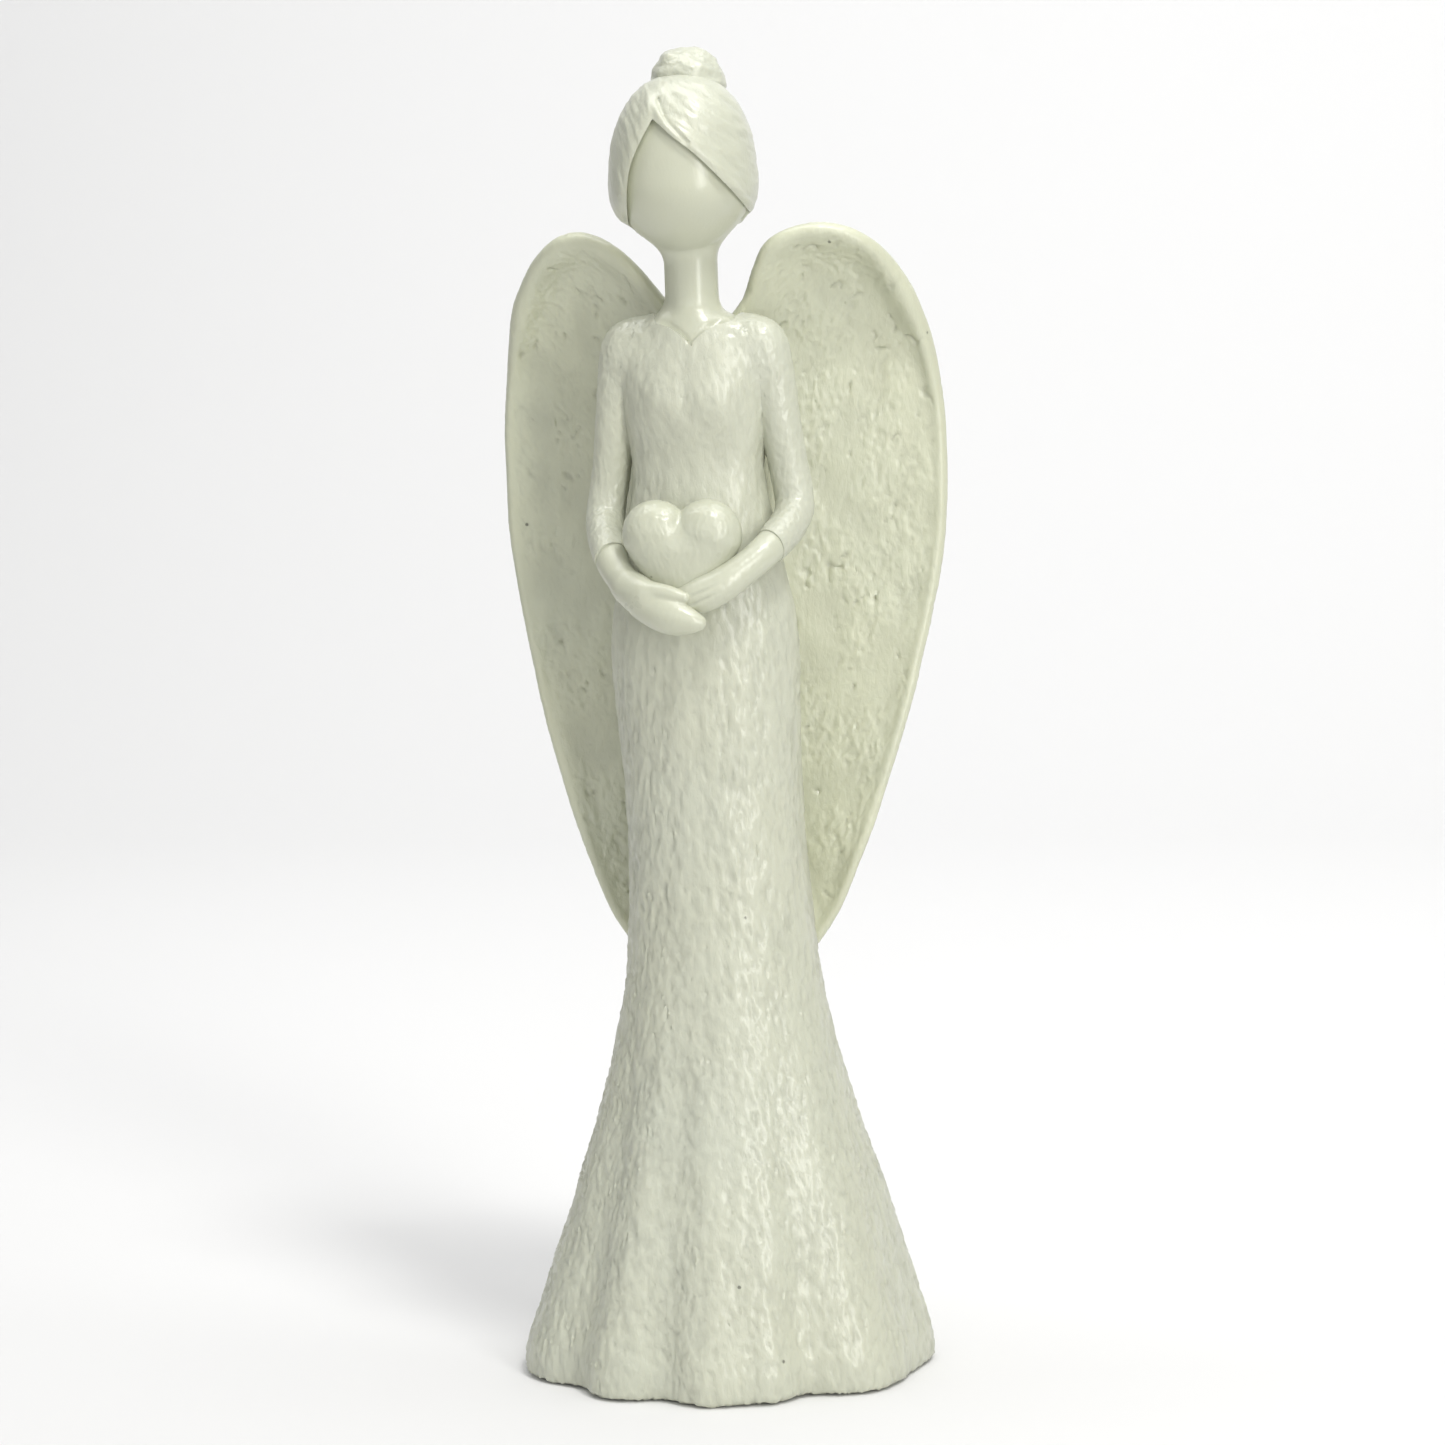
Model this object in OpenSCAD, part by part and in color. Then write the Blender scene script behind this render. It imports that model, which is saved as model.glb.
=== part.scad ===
// Standing angel figurine, cast in resin as separate pieces that are dowelled and bonded together.
// Millimetres. Front is -Y, the figure's left is +X, up is +Z. Origin: centre of the underside.

/* [Overall] */
// Height from the table to the top of the hair bun
figure_h = 300; // [240:1:360]
// How far the head turns to the figure's left, degrees
head_turn = 12; // [-15:1:20]

/* [Gown] */
// Width of the hem
hem_w = 95; // [88:0.2:100]
// Depth of the hem, front to back
hem_d = 82; // [76:0.5:88]
// Depth of the deepest fold at the hem
fold_depth = 2.8; // [0:0.1:3.5]
// Radius of the hollow under the skirt where it is widest
hollow_r = 24; // [18:0.5:26]

/* [Wings] */
// Span of the wings, rim to rim
wing_span = 104.8; // [99:0.2:109]
// Thickness of a wing at its middle
wing_t = 3; // [2.4:0.1:3.6]
// Thickness of a wing at its root, where the dowels go in
root_t = 6.6; // [6:0.1:7.5]
// Radius of the steel dowels
dowel_r = 1.5; // [1:0.25:1.75]

/* [Head] */
// Width of the head over the hair
head_w = 33.4; // [31:0.2:35]
// Thickness of the hair over the head
hair_t = 1; // [0.8:0.1:1.6]
// Width of the hair bun
bun_w = 16.8; // [14:0.2:18]
// Radius of the neck at its narrowest
neck_r = 5.7; // [5:0.1:6.2]

/* [Heart and hands] */
// Width of the heart
heart_w = 26.4; // [24:0.2:27]
// Radius of the pegs that hold the heart and the hands
peg_r = 1.6; // [1:0.1:1.8]

/* [Base] */
// Thickness of the felt disc
felt_t = 1.5; // [1:0.1:2]
// Radius of the felt disc
felt_r = 33; // [30:0.5:35]

/* [Hidden] */

drawn_h = 300;
fit_scale = figure_h / drawn_h;
resin_tone = [0.89, 0.9, 0.82];
skin_tone = [0.92, 0.93, 0.86];
steel_tone = [0.6, 0.61, 0.63];
felt_tone = [0.3, 0.3, 0.29];

// Gown cross-sections from hem to neck: height, half width, half depth, centre's y.
hem_z = 0.5;
gown_rows = [
    [0, hem_w / 2, hem_d / 2, 0],
    [17, hem_w * 0.468, hem_d * 0.466, 0],
    [31, hem_w * 0.42, hem_d * 0.423, 0],
    [45, hem_w * 0.371, hem_d * 0.38, 0.2],
    [58, 30.9, 27.6, 0.3],
    [72, 26.8, 24.2, 0.5],
    [90, 22.9, 20.8, 0.8],
    [112, 20.7, 18.3, 1],
    [134, 20.2, 16.8, 0.8],
    [152, 20.9, 15.9, 0.4],
    [170, 21.2, 14.4, 0],
    [187, 18.6, 12.3, -0.3],
    [207, 16.8, 10.4, -0.6],
    [222, 18, 10.8, -1],
    [232, 17, 9.6, -0.6],
    [237.5, 13.6, 8.4, 0],
    [240.6, 9, 7.2, 0]
];
gown_top_z = 240.6;
gown_sides = 48;
gown_rings = 34;
// Folds of the skirt: angle from the front towards the figure's left, depth share, half width.
folds = [[-52, 0.9, 13], [-14, 1, 14], [39, 0.9, 13], [82, 0.7, 14], [124, 0.9, 14],
    [166, 0.8, 14], [208, 0.9, 14], [258, 0.8, 14]];
fold_top_z = 92;

// The flat seat for the wings leans with the back of the bodice.
seat_top_z = 238;
seat_top_y = 7;
seat_lean = 6.2;
seat_low_z = 170;
wing_gap = 0.3;
dowel_x = 6.2;
dowel_zs = [224, 188];
dowel_in_gown = 6.5;
dowel_in_wing = 4.6;

// Wing sections from tip to top: height, inner edge, outer edge as a share of half the span, outer rim's y.
half_span = wing_span / 2;
wing_rows = [
    [96, 20.3, half_span * 0.44, 8],
    [104, 17.6, half_span * 0.522, 9],
    [118, 13, half_span * 0.631, 11],
    [131, 9, half_span * 0.727, 13.5],
    [145, 5.4, half_span * 0.805, 16.5],
    [163, 1.6, half_span * 0.89, 20.5],
    [182, 0.2, half_span * 0.967, 24],
    [200, 0.2, half_span * 0.998, 25.5],
    [214, 0.2, half_span, 26],
    [232, 0.8, half_span * 0.963, 24.5],
    [241, 6, half_span * 0.917, 21],
    [246, 10.7, half_span * 0.878, 18.5],
    [250, 13.4, half_span * 0.832, 16],
    [255, 17.5, half_span * 0.754, 12.5],
    [259, 26, half_span * 0.58, 8.5]
];
wing_low_z = 96;
wing_high_z = 259;
wing_rings = 30;
wing_steps = 11;
wing_cup = 3.4;
root_low_z = 158;
root_high_z = 250;

// Head: an egg that stands on the neck.
head_c = [-0.6, -2, 0];
chin_z = 253;
cheek_z = 270;
crown_z = 294.2;
neck_seat_z = 232.5;
bun_z = 291;
bun_y = 2.6;
bun_high = 9;

// Arms: the left arm's path and thickness. The right arm mirrors it with a lower cuff.
arm_path = [[15, 0, 237.4], [15.7, 0, 234], [16.9, 0, 228.6], [18.9, 0.3, 216.2], [20.6, 0.8, 205.3],
    [21.7, -0.4, 197.6], [21.1, -5, 193.6], [19.2, -10.4, 190.4]];
arm_r = [3, 5.4, 5.4, 4.7, 4.4, 4.3, 4.1, 3.9];
shoulder_peg_z = 232;
shoulder_peg_in = 10;
shoulder_peg_out = 17;
cuff_drop = 2.4;
arm_sides = 16;

// Hands: paths from the palm to the fingertips, after a straight wrist.
left_hand_path = [[14.4, -16.8, 186], [9.2, -19.8, 182], [3.8, -21, 179.3], [-1.2, -20.8, 178.2]];
right_hand_path = [[-14.6, -16.8, 182.6], [-9, -21.4, 178.6], [-2.6, -24.2, 175.4], [3.4, -24.8, 174.2]];
hand_r = [3, 3.2, 3.9, 4.1, 3.2, 1.8];
wrist_l = 2.6;

heart_c = [-0.4, -15.6, 190.3];
heart_high = 20.5;

// Smooth curve through column k of rows, read at height z.
function row_at(z, rows, i = 0) = (i >= len(rows) - 2 || z < rows[i + 1][0]) ? i : row_at(z, rows, i + 1);
function row_slope(rows, i, k) =
    let (a = max(i - 1, 0), b = min(i + 1, len(rows) - 1))
    (rows[b][k] - rows[a][k]) / (rows[b][0] - rows[a][0]);
function curve(z, rows, k) =
    let (i = row_at(z, rows), h = rows[i + 1][0] - rows[i][0], t = (z - rows[i][0]) / h)
    rows[i][k] * (2 * t ^ 3 - 3 * t ^ 2 + 1) + row_slope(rows, i, k) * h * (t ^ 3 - 2 * t ^ 2 + t)
    + rows[i + 1][k] * (3 * t ^ 2 - 2 * t ^ 3) + row_slope(rows, i + 1, k) * h * (t ^ 3 - t ^ 2);

// Closed solid through a list of rings with the same number of points each.
module loft(rings) {
    n = len(rings[0]);
    m = len(rings);
    points = concat([for (ring = rings) each ring], [mean(rings[0]), mean(rings[m - 1])]);
    walls = [for (j = [0 : m - 2], i = [0 : n - 1])
        let (a = j * n + i, b = j * n + (i + 1) % n)
        each [[a, a + n, b + n], [a, b + n, b]]];
    bottom = [for (i = [0 : n - 1]) [m * n, i, (i + 1) % n]];
    top = [for (i = [0 : n - 1]) [m * n + 1, (m - 1) * n + (i + 1) % n, (m - 1) * n + i]];
    polyhedron(points = points, faces = concat(walls, bottom, top), convexity = 8);
}
function mean(list) = [for (k = [0 : 2]) sum([for (p = list) p[k]]) / len(list)];
function sum(list, i = 0) = i < len(list) ? list[i] + sum(list, i + 1) : 0;
function unit(v) = v / norm(v);
function ramp(t) = let (s = max(0, min(1, t))) s * s * (3 - 2 * s);

// Round bar along a path, with a radius at each point.
module bar(path, radii, sides) {
    last = len(path) - 1;
    loft([for (i = [0 : last])
        let (t = unit(path[min(i + 1, last)] - path[max(i - 1, 0)]), u = unit(cross(t, [0, 1, 0])), v = cross(t, u))
        [for (k = [0 : sides - 1]) path[i] + radii[i] * (u * cos(k * 360 / sides) + v * sin(k * 360 / sides))]]);
}

// The skirt's folds: how much the outline draws in at an angle and a height.
function turn_gap(a, b) = let (d = abs(a - b) % 360) min(d, 360 - d);
function fold_at(angle, z) =
    let (rise = max(0, 1 - z / fold_top_z))
    fold_depth * rise ^ 1.4 * sum([for (f = folds) f[1] * exp(-((turn_gap(angle, f[0]) / f[2]) ^ 2))]);
function gown_ring(z) =
    let (a = curve(z, gown_rows, 1), b = curve(z, gown_rows, 2), c = curve(z, gown_rows, 3))
    [for (k = [0 : gown_sides - 1])
        let (angle = k * 360 / gown_sides, cut = fold_at(angle, z))
        [(a - cut) * sin(angle), c - (b - cut) * cos(angle), z]];
// The y of the gown's back surface at x and z, or far in front where the gown is narrower than x.
function gown_back(x, z) =
    let (a = curve(z, gown_rows, 1), s = 1 - (x / a) ^ 2)
    s > 0 ? curve(z, gown_rows, 3) + curve(z, gown_rows, 2) * sqrt(s) : -drawn_h;

module gown_body() {
    loft([for (i = [0 : gown_rings]) gown_ring(hem_z + (gown_top_z - hem_z) * i / gown_rings)]);
}

function seat_y(z) = seat_top_y + (seat_top_z - z) * tan(seat_lean);

// Places its children on the wing seat, with +Z pointing out of the back.
module on_seat(x, z) {
    translate([x, seat_y(z), z]) rotate([seat_lean - 90, 0, 0]) children();
}

module dowel_bore(x, z, deep) {
    on_seat(x, z) translate([0, 0, -deep]) cylinder(r = dowel_r, h = 2 * deep, $fn = 48);
}

module dowel(x, z) {
    color(steel_tone) scale(fit_scale) on_seat(x, z) translate([0, 0, -dowel_in_gown])
        cylinder(r = dowel_r, h = dowel_in_gown + dowel_in_wing, $fn = 48);
}

// Everything behind the wing seat.
module seat_cut() {
    cut_w = 60;
    cut_h = 72;
    on_seat(-cut_w / 2, seat_low_z) translate([0, -cut_h, 0]) cube([cut_w, cut_h + 1, 30]);
}

// The neck's foot, which the bodice is bored out to take.
neck_profile = [[0, neck_seat_z], [7.9, neck_seat_z], [7.8, 236], [7.3, 239], [6.5, 242], [neck_r + 0.1, 246],
    [neck_r, 250], [neck_r, 258], [0, 259]];
neck_dowel_low_z = 216;
neck_dowel_high_z = 248;

module neck_solid() {
    translate([head_c[0] / 2, 0, 0]) rotate_extrude($fn = 64) polygon(neck_profile);
}

module neck_bore() {
    translate([head_c[0] / 2, 0, neck_dowel_low_z])
        cylinder(r = dowel_r, h = neck_dowel_high_z - neck_dowel_low_z, $fn = 48);
}

// V of the neckline, cut from front to middle.
module neckline_cut() {
    v_low_z = 234;
    v_top_z = 244;
    v_half = 8.4;
    translate([0.6, 1, 0]) rotate([90, 0, 0]) linear_extrude(14)
        polygon([[0, v_low_z], [v_half * 0.55, v_low_z + 2.8], [v_half, v_low_z + 6.2], [v_half, v_top_z],
            [-v_half, v_top_z], [-v_half, v_low_z + 6.2], [-v_half * 0.55, v_low_z + 2.8]]);
}

heart_peg_l = 9;
module heart_peg() {
    translate([0, heart_c[1], heart_c[2] - 2]) rotate([-90, 0, 0])
        cylinder(r = peg_r, h = heart_peg_l, $fn = 48);
}

plug_r = 27;
plug_t = 3.5;
felt_sink = 1;

module gown() {
    color(resin_tone) scale(fit_scale) difference() {
        gown_body();
        seat_cut();
        for (side = [-1, 1], z = dowel_zs) dowel_bore(side * dowel_x, z, dowel_in_gown);
        neck_solid();
        neck_bore();
        neckline_cut();
        heart_peg();
        for (side = [-1, 1]) shoulder_peg(side);
        translate([0, 0, hem_z - 1]) cylinder(r = felt_r, h = felt_sink + 1, $fn = 96);
        translate([0, 0, hem_z]) cylinder(r = plug_r, h = felt_sink + plug_t, $fn = 96);
        rotate_extrude($fn = 96) polygon([[0, 1], [hollow_r, 1], [hollow_r, 20], [hollow_r * 0.62, 60],
            [hollow_r * 0.46, 92], [hollow_r * 0.3, 99], [0, 102]]);
    }
}

function arm_points(side) = [for (i = [0 : len(arm_path) - 1])
    let (p = arm_path[i], drop = side < 0 ? cuff_drop * (i / (len(arm_path) - 1)) ^ 3 : 0)
    [side * p[0], p[1], p[2] - drop]];

// Peg from a sleeve into the bodice at the shoulder.
module shoulder_peg(side) {
    translate([side * shoulder_peg_in, 0, shoulder_peg_z]) rotate([0, side * 90, 0])
        cylinder(r = peg_r, h = shoulder_peg_out - shoulder_peg_in, $fn = 48);
}

module sleeve(side) {
    points = arm_points(side);
    color(resin_tone) scale(fit_scale) union() {
        difference() {
            bar(points, arm_r, arm_sides);
            gown_body();
            wrist_peg(side);
        }
        shoulder_peg(side);
    }
}

module left_sleeve() {
    sleeve(1);
}

module right_sleeve() {
    sleeve(-1);
}

// Peg from a hand into its cuff.
wrist_peg_l = 4;
module wrist_peg(side) {
    arm = arm_points(side);
    cuff = arm[len(arm) - 1];
    back = unit(arm[len(arm) - 2] - cuff);
    yaw = atan2(back[1], back[0]);
    lean = acos(back[2]);
    translate(cuff) rotate([0, lean, yaw]) translate([0, 0, -0.5]) cylinder(r = peg_r, h = wrist_peg_l + 0.5, $fn = 48);
}

module hand(path, side) {
    arm = arm_points(side);
    cuff = arm[len(arm) - 1];
    wrist = cuff + wrist_l * unit(cuff - arm[len(arm) - 2]);
    color(skin_tone) scale(fit_scale) union() {
        bar(concat([cuff, wrist], path), hand_r, arm_sides);
        wrist_peg(side);
    }
}

module left_hand() {
    hand(left_hand_path, 1);
}

module right_hand() {
    hand(right_hand_path, -1);
}

module heart_half(side) {
    lobe_r = heart_w * 0.26;
    tip_r = 2.8;
    hull() {
        translate(heart_c + [side * (heart_w / 2 - lobe_r), 0, heart_high / 2 - lobe_r])
            sphere(r = lobe_r, $fn = 32);
        translate(heart_c + [side * 2.4, 0, -1.6]) sphere(r = 6.4, $fn = 24);
        translate(heart_c + [0, 0, tip_r - heart_high / 2]) sphere(r = tip_r, $fn = 24);
    }
}

module heart() {
    color(resin_tone) scale(fit_scale) union() {
        difference() {
            union() {
                heart_half(-1);
                heart_half(1);
            }
            gown_body();
        }
        heart_peg();
    }
}

// Egg profile: radius at a height, drawn in by inset on every side.
function egg_r(z, inset) =
    let (r = head_w / 2 - inset, up = crown_z - inset - cheek_z, down = cheek_z - chin_z - inset,
        s = z > cheek_z ? (z - cheek_z) / up : (cheek_z - z) / down, p = z > cheek_z ? 2.3 : 1.7)
    r * max(0, 1 - min(1, s) ^ p) ^ (1 / p);
module egg(inset) {
    steps = 22;
    low = chin_z + inset;
    high = crown_z - inset;
    translate(head_c) rotate_extrude($fn = 96) polygon([for (i = [0 : steps])
        let (z = (low + high) / 2 - (high - low) / 2 * cos(180 * i / steps))
        [i == 0 || i == steps ? 0 : egg_r(z, inset), z]]);
}

module head_and_neck() {
    color(skin_tone) scale(fit_scale) difference() {
        union() {
            egg(hair_t);
            neck_solid();
        }
        neck_bore();
        seat_cut();
        bun_solid();
        bun_pin_solid();
    }
}

// The face opening in the hair, seen from the front of the head: a side parting with a sweep to each side.
module face_opening() {
    part_x = -6.6;
    part_z = 284.2;
    face_half = 13.4;
    translate(head_c) rotate([0, 0, head_turn]) rotate([90, 0, 0]) linear_extrude(30)
        polygon([[part_x, part_z], [2.4, 276.8], [8, 271], [face_half, 264.4], [face_half - 0.4, 246],
            [0.4 - face_half, 246], [-face_half, 265], [-11.8, 273]]);
}

// Everything below the hairline, which drops from the cheeks to the nape.
module below_hairline() {
    nape_lean = -13;
    wide = 60;
    translate([head_c[0], head_c[1], 261.4]) rotate([nape_lean, 0, 0])
        translate([-wide / 2, -wide / 2, -wide / 2]) cube([wide, wide, wide / 2]);
}

module hair_cap() {
    color(resin_tone) scale(fit_scale) difference() {
        egg(0);
        egg(hair_t);
        below_hairline();
        face_opening();
        bun_solid();
        bun_pin_solid();
    }
}

module bun_solid() {
    translate([head_c[0], bun_y, bun_z]) rotate_extrude($fn = 64)
        polygon([[0, -0.8], [bun_w * 0.36, -0.8], [bun_w * 0.47, 0.8], [bun_w / 2, 3], [bun_w * 0.46, 5.6],
            [bun_w * 0.34, 7.8], [bun_w * 0.17, bun_high - 0.2], [0, bun_high]]);
}

module bun_pin_solid() {
    translate([head_c[0], bun_y, bun_z - 6]) cylinder(r = dowel_r / 2, h = 10, $fn = 32);
}

module hair_bun() {
    color(resin_tone) scale(fit_scale) difference() {
        bun_solid();
        bun_pin_solid();
    }
}

module bun_pin() {
    color(steel_tone) scale(fit_scale) bun_pin_solid();
}

// One ring of a wing at height z: front face from root to rim, then back face from rim to root.
function wing_front(x, z, xi, xo, yo) =
    let (u = (x - xi) / (xo - xi), yi = z < seat_low_z ? gown_back(xi, z) + wing_gap : seat_y(z),
        leaf = yi + (yo - yi) * u + wing_cup * (xo - xi) / half_span * 4 * u * (1 - u),
        stop = z < seat_low_z ? gown_back(x, z) + wing_gap : (x < 13 ? seat_y(z) : -drawn_h))
    x < 11 && z >= seat_low_z && z <= seat_top_z ? seat_y(z) : max(leaf, stop);
function wing_thick(u, z) =
    let (rim = min(1, (1 - abs(2 * u - 1)) * 6 + 0.35), root = max(0, 1 - u * 2.4) ^ 1.2)
    wing_t * rim + (root_t - wing_t) * root * ramp((z - root_low_z) / 20) * ramp((root_high_z - z) / 16);
function wing_ring(z) =
    let (xi = curve(z, wing_rows, 1), xo = curve(z, wing_rows, 2), yo = curve(z, wing_rows, 3),
        front = [for (i = [0 : wing_steps]) let (u = i / wing_steps, x = xi + (xo - xi) * u)
            [x, wing_front(x, z, xi, xo, yo), z]],
        back = [for (i = [wing_steps : -1 : 0]) front[i] + [0, wing_thick(i / wing_steps, z), 0]])
    concat(front, back);

module wing_leaf() {
    loft([for (i = [0 : wing_rings])
        let (s = i / wing_rings, z = wing_low_z + (wing_high_z - wing_low_z) * (s + 0.12 * sin(180 * s) * s))
        wing_ring(z)]);
}

module wing(side) {
    color(resin_tone) scale(fit_scale) difference() {
        mirror([side < 0 ? 1 : 0, 0, 0]) wing_leaf();
        for (z = dowel_zs) dowel_bore(side * dowel_x, z, dowel_in_wing);
    }
}

module left_wing() {
    wing(1);
}

module right_wing() {
    wing(-1);
}

module left_upper_dowel() {
    dowel(dowel_x, dowel_zs[0]);
}

module left_lower_dowel() {
    dowel(dowel_x, dowel_zs[1]);
}

module right_upper_dowel() {
    dowel(-dowel_x, dowel_zs[0]);
}

module right_lower_dowel() {
    dowel(-dowel_x, dowel_zs[1]);
}

module neck_dowel() {
    color(steel_tone) scale(fit_scale) neck_bore();
}

module base_plug() {
    color(resin_tone) scale(fit_scale) translate([0, 0, hem_z + felt_sink]) cylinder(r = plug_r, h = plug_t, $fn = 96);
}

module felt_pad() {
    color(felt_tone) scale(fit_scale) cylinder(r = felt_r, h = felt_t, $fn = 96);
}

gown();
left_sleeve();
right_sleeve();
left_hand();
right_hand();
heart();
head_and_neck();
hair_cap();
hair_bun();
bun_pin();
left_wing();
right_wing();
left_upper_dowel();
left_lower_dowel();
right_upper_dowel();
right_lower_dowel();
neck_dowel();
base_plug();
felt_pad();
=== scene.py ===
"""Standing resin angel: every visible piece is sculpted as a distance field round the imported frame."""

import math

import bpy
import numpy as np
from mathutils import Matrix, Vector


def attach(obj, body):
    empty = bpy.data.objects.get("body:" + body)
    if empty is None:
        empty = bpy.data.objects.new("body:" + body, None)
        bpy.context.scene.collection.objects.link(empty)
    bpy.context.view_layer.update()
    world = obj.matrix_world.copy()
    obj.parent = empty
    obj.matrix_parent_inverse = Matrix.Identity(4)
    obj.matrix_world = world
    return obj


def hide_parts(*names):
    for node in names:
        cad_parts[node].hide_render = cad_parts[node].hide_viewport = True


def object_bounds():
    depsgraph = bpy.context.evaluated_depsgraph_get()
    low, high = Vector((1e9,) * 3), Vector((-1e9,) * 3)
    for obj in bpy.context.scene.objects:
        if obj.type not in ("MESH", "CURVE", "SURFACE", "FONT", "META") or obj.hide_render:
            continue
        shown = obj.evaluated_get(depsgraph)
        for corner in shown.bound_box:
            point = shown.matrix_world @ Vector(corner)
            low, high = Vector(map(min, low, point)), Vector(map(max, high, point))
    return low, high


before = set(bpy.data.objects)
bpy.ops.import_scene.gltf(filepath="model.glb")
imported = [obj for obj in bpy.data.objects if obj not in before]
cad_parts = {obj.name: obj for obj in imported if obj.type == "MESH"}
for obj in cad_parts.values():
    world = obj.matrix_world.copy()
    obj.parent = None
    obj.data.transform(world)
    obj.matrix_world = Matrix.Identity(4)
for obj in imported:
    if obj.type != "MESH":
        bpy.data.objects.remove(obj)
cad_low, cad_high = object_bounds()

# The figure is drawn in millimetres at this height and scaled to the height that the frame has.
DRAWN_HEIGHT = 300.0
METRES = (cad_high.z - cad_low.z) / DRAWN_HEIGHT


# ---------------------------------------------------------------- numbers and curves


def ramp(t):
    """Smooth step from 0 to 1 as t goes from 0 to 1."""
    s = np.clip(t, 0.0, 1.0)
    return s * s * (3.0 - 2.0 * s)


def soft_min(a, b, k):
    """The smaller of a and b, rounded where they meet over a width of about k."""
    h = np.clip(0.5 + 0.5 * (b - a) / k, 0.0, 1.0)
    return b + (a - b) * h - k * h * (1.0 - h)


def soft_max(a, b, k):
    """The larger of a and b, rounded where they meet."""
    return -soft_min(-a, -b, k)


class Rows:
    """Smooth curves through rows of (place, value, value, ...), looked up by place and column number."""

    def __init__(self, rows, step=0.1):
        table = np.array(rows, float)
        zs = table[:, 0]
        slopes = np.gradient(table[:, 1:], zs, axis=0)
        self.z = np.arange(zs[0], zs[-1] + step, step)
        i = np.clip(np.searchsorted(zs, self.z, "right") - 1, 0, len(zs) - 2)
        h = zs[i + 1] - zs[i]
        t = ((self.z - zs[i]) / h)[:, None]
        h = h[:, None]
        self.values = (
            table[i, 1:] * (2 * t**3 - 3 * t**2 + 1)
            + slopes[i] * h * (t**3 - 2 * t**2 + t)
            + table[i + 1, 1:] * (3 * t**2 - 2 * t**3)
            + slopes[i + 1] * h * (t**3 - t**2)
        )

    def __call__(self, z, column):
        return np.interp(z, self.z, self.values[:, column - 1])


def smooth_path(points, steps=6):
    """Points of a smooth curve through the given points, any number of columns."""
    p = np.array(points, float)
    ahead = np.vstack([2 * p[0] - p[1], p, 2 * p[-1] - p[-2]])
    out = []
    for i in range(len(p) - 1):
        a, b, c, d = ahead[i : i + 4]
        for t in np.arange(steps) / steps:
            curve = 2 * b + (c - a) * t + (2 * a - 5 * b + 4 * c - d) * t**2 + (3 * b - a - 3 * c + d) * t**3
            out.append(0.5 * curve)
    out.append(p[-1])
    return np.array(out)


def hashed(cell, seed):
    """Three numbers in -1..1 for each lattice cell, the same each time for the same seed.

    The large odd multipliers only scatter the bits."""
    a = cell.astype(np.uint64)
    base = a[:, 0] * np.uint64(73856093) ^ a[:, 1] * np.uint64(19349663) ^ a[:, 2] * np.uint64(83492791)
    base = base + np.uint64(seed * 7919 + 11)
    out = []
    for k in range(3):
        h = base * np.uint64(6364136223846793005) + np.uint64(1442695040888963407 + 2 * k)
        h ^= h >> np.uint64(33)
        h = h * np.uint64(0xFF51AFD7ED558CCD)
        h ^= h >> np.uint64(29)
        out.append((h & np.uint64(0xFFFF)).astype(float) / 32767.5 - 1.0)
        base = h
    return np.stack(out, 1)


def noise(p, size, seed=0):
    """Smooth noise, about -1..1, with features of the given size (a number, or one for each axis)."""
    q = p / np.array(size, float) + 1000.0
    cell = np.floor(q).astype(np.int64)
    f = q - cell
    w = f * f * f * (f * (f * 6.0 - 15.0) + 10.0)
    total = np.zeros(len(p))
    for dx in (0, 1):
        for dy in (0, 1):
            for dz in (0, 1):
                corner = np.array([dx, dy, dz])
                g = hashed(cell + corner, seed)
                weight = np.prod(np.where(corner == 1, w, 1.0 - w), axis=1)
                total += weight * np.sum(g * (f - corner), axis=1)
    return total * 1.4


def ridges(p, size, seed=0):
    """Noise folded into sharp ridges with round hollows between them, 0 to 1."""
    return 1.0 - np.minimum(1.0, 2.2 * np.abs(noise(p, size, seed)))


# ---------------------------------------------------------------- from a field to a mesh


# A grid cell's corners, and the pairs of corners that its edges join.
CORNERS = np.array([(i, j, k) for i in (0, 1) for j in (0, 1) for k in (0, 1)])
EDGES = [(a, b) for a in range(8) for b in range(a + 1, 8) if np.abs(CORNERS[a] - CORNERS[b]).sum() == 1]
# Cells along each side of a block. Blocks far from the surface aren't worked out finely.
BLOCK = 4
# Edges sharper than this angle, in degrees, are shaded as edges.
SHARP_ANGLE = 50.0
# The relief fades out over this distance from a seam.
SEAM_FADE = 0.8


def whole(field, p):
    """A piece's field: the largest of its surfaces."""
    out = field[0](p)
    for f in field[1:]:
        out = np.maximum(out, f(p))
    return out


def sample(field, low, high, h):
    """The field on a grid of spacing h, worked out finely only in the blocks near the surface."""
    low, high = np.array(low, float), np.array(high, float)
    blocks = np.ceil((high - low) / (h * BLOCK)).astype(int) + 1
    axes = [low[k] + h[k] * BLOCK * (np.arange(blocks[k]) + 0.5) for k in range(3)]
    grid = np.stack(np.meshgrid(*axes, indexing="ij"), -1).reshape(-1, 3)
    coarse = whole(field, grid).reshape(blocks)
    near = np.abs(coarse) < np.linalg.norm(h) * BLOCK * 0.85
    values = np.repeat(np.repeat(np.repeat(coarse, BLOCK, 0), BLOCK, 1), BLOCK, 2)
    fine = np.repeat(np.repeat(np.repeat(near, BLOCK, 0), BLOCK, 1), BLOCK, 2)
    index = np.argwhere(fine)
    points = low + h * index
    values[fine] = whole(field, points)
    return values, low


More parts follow.
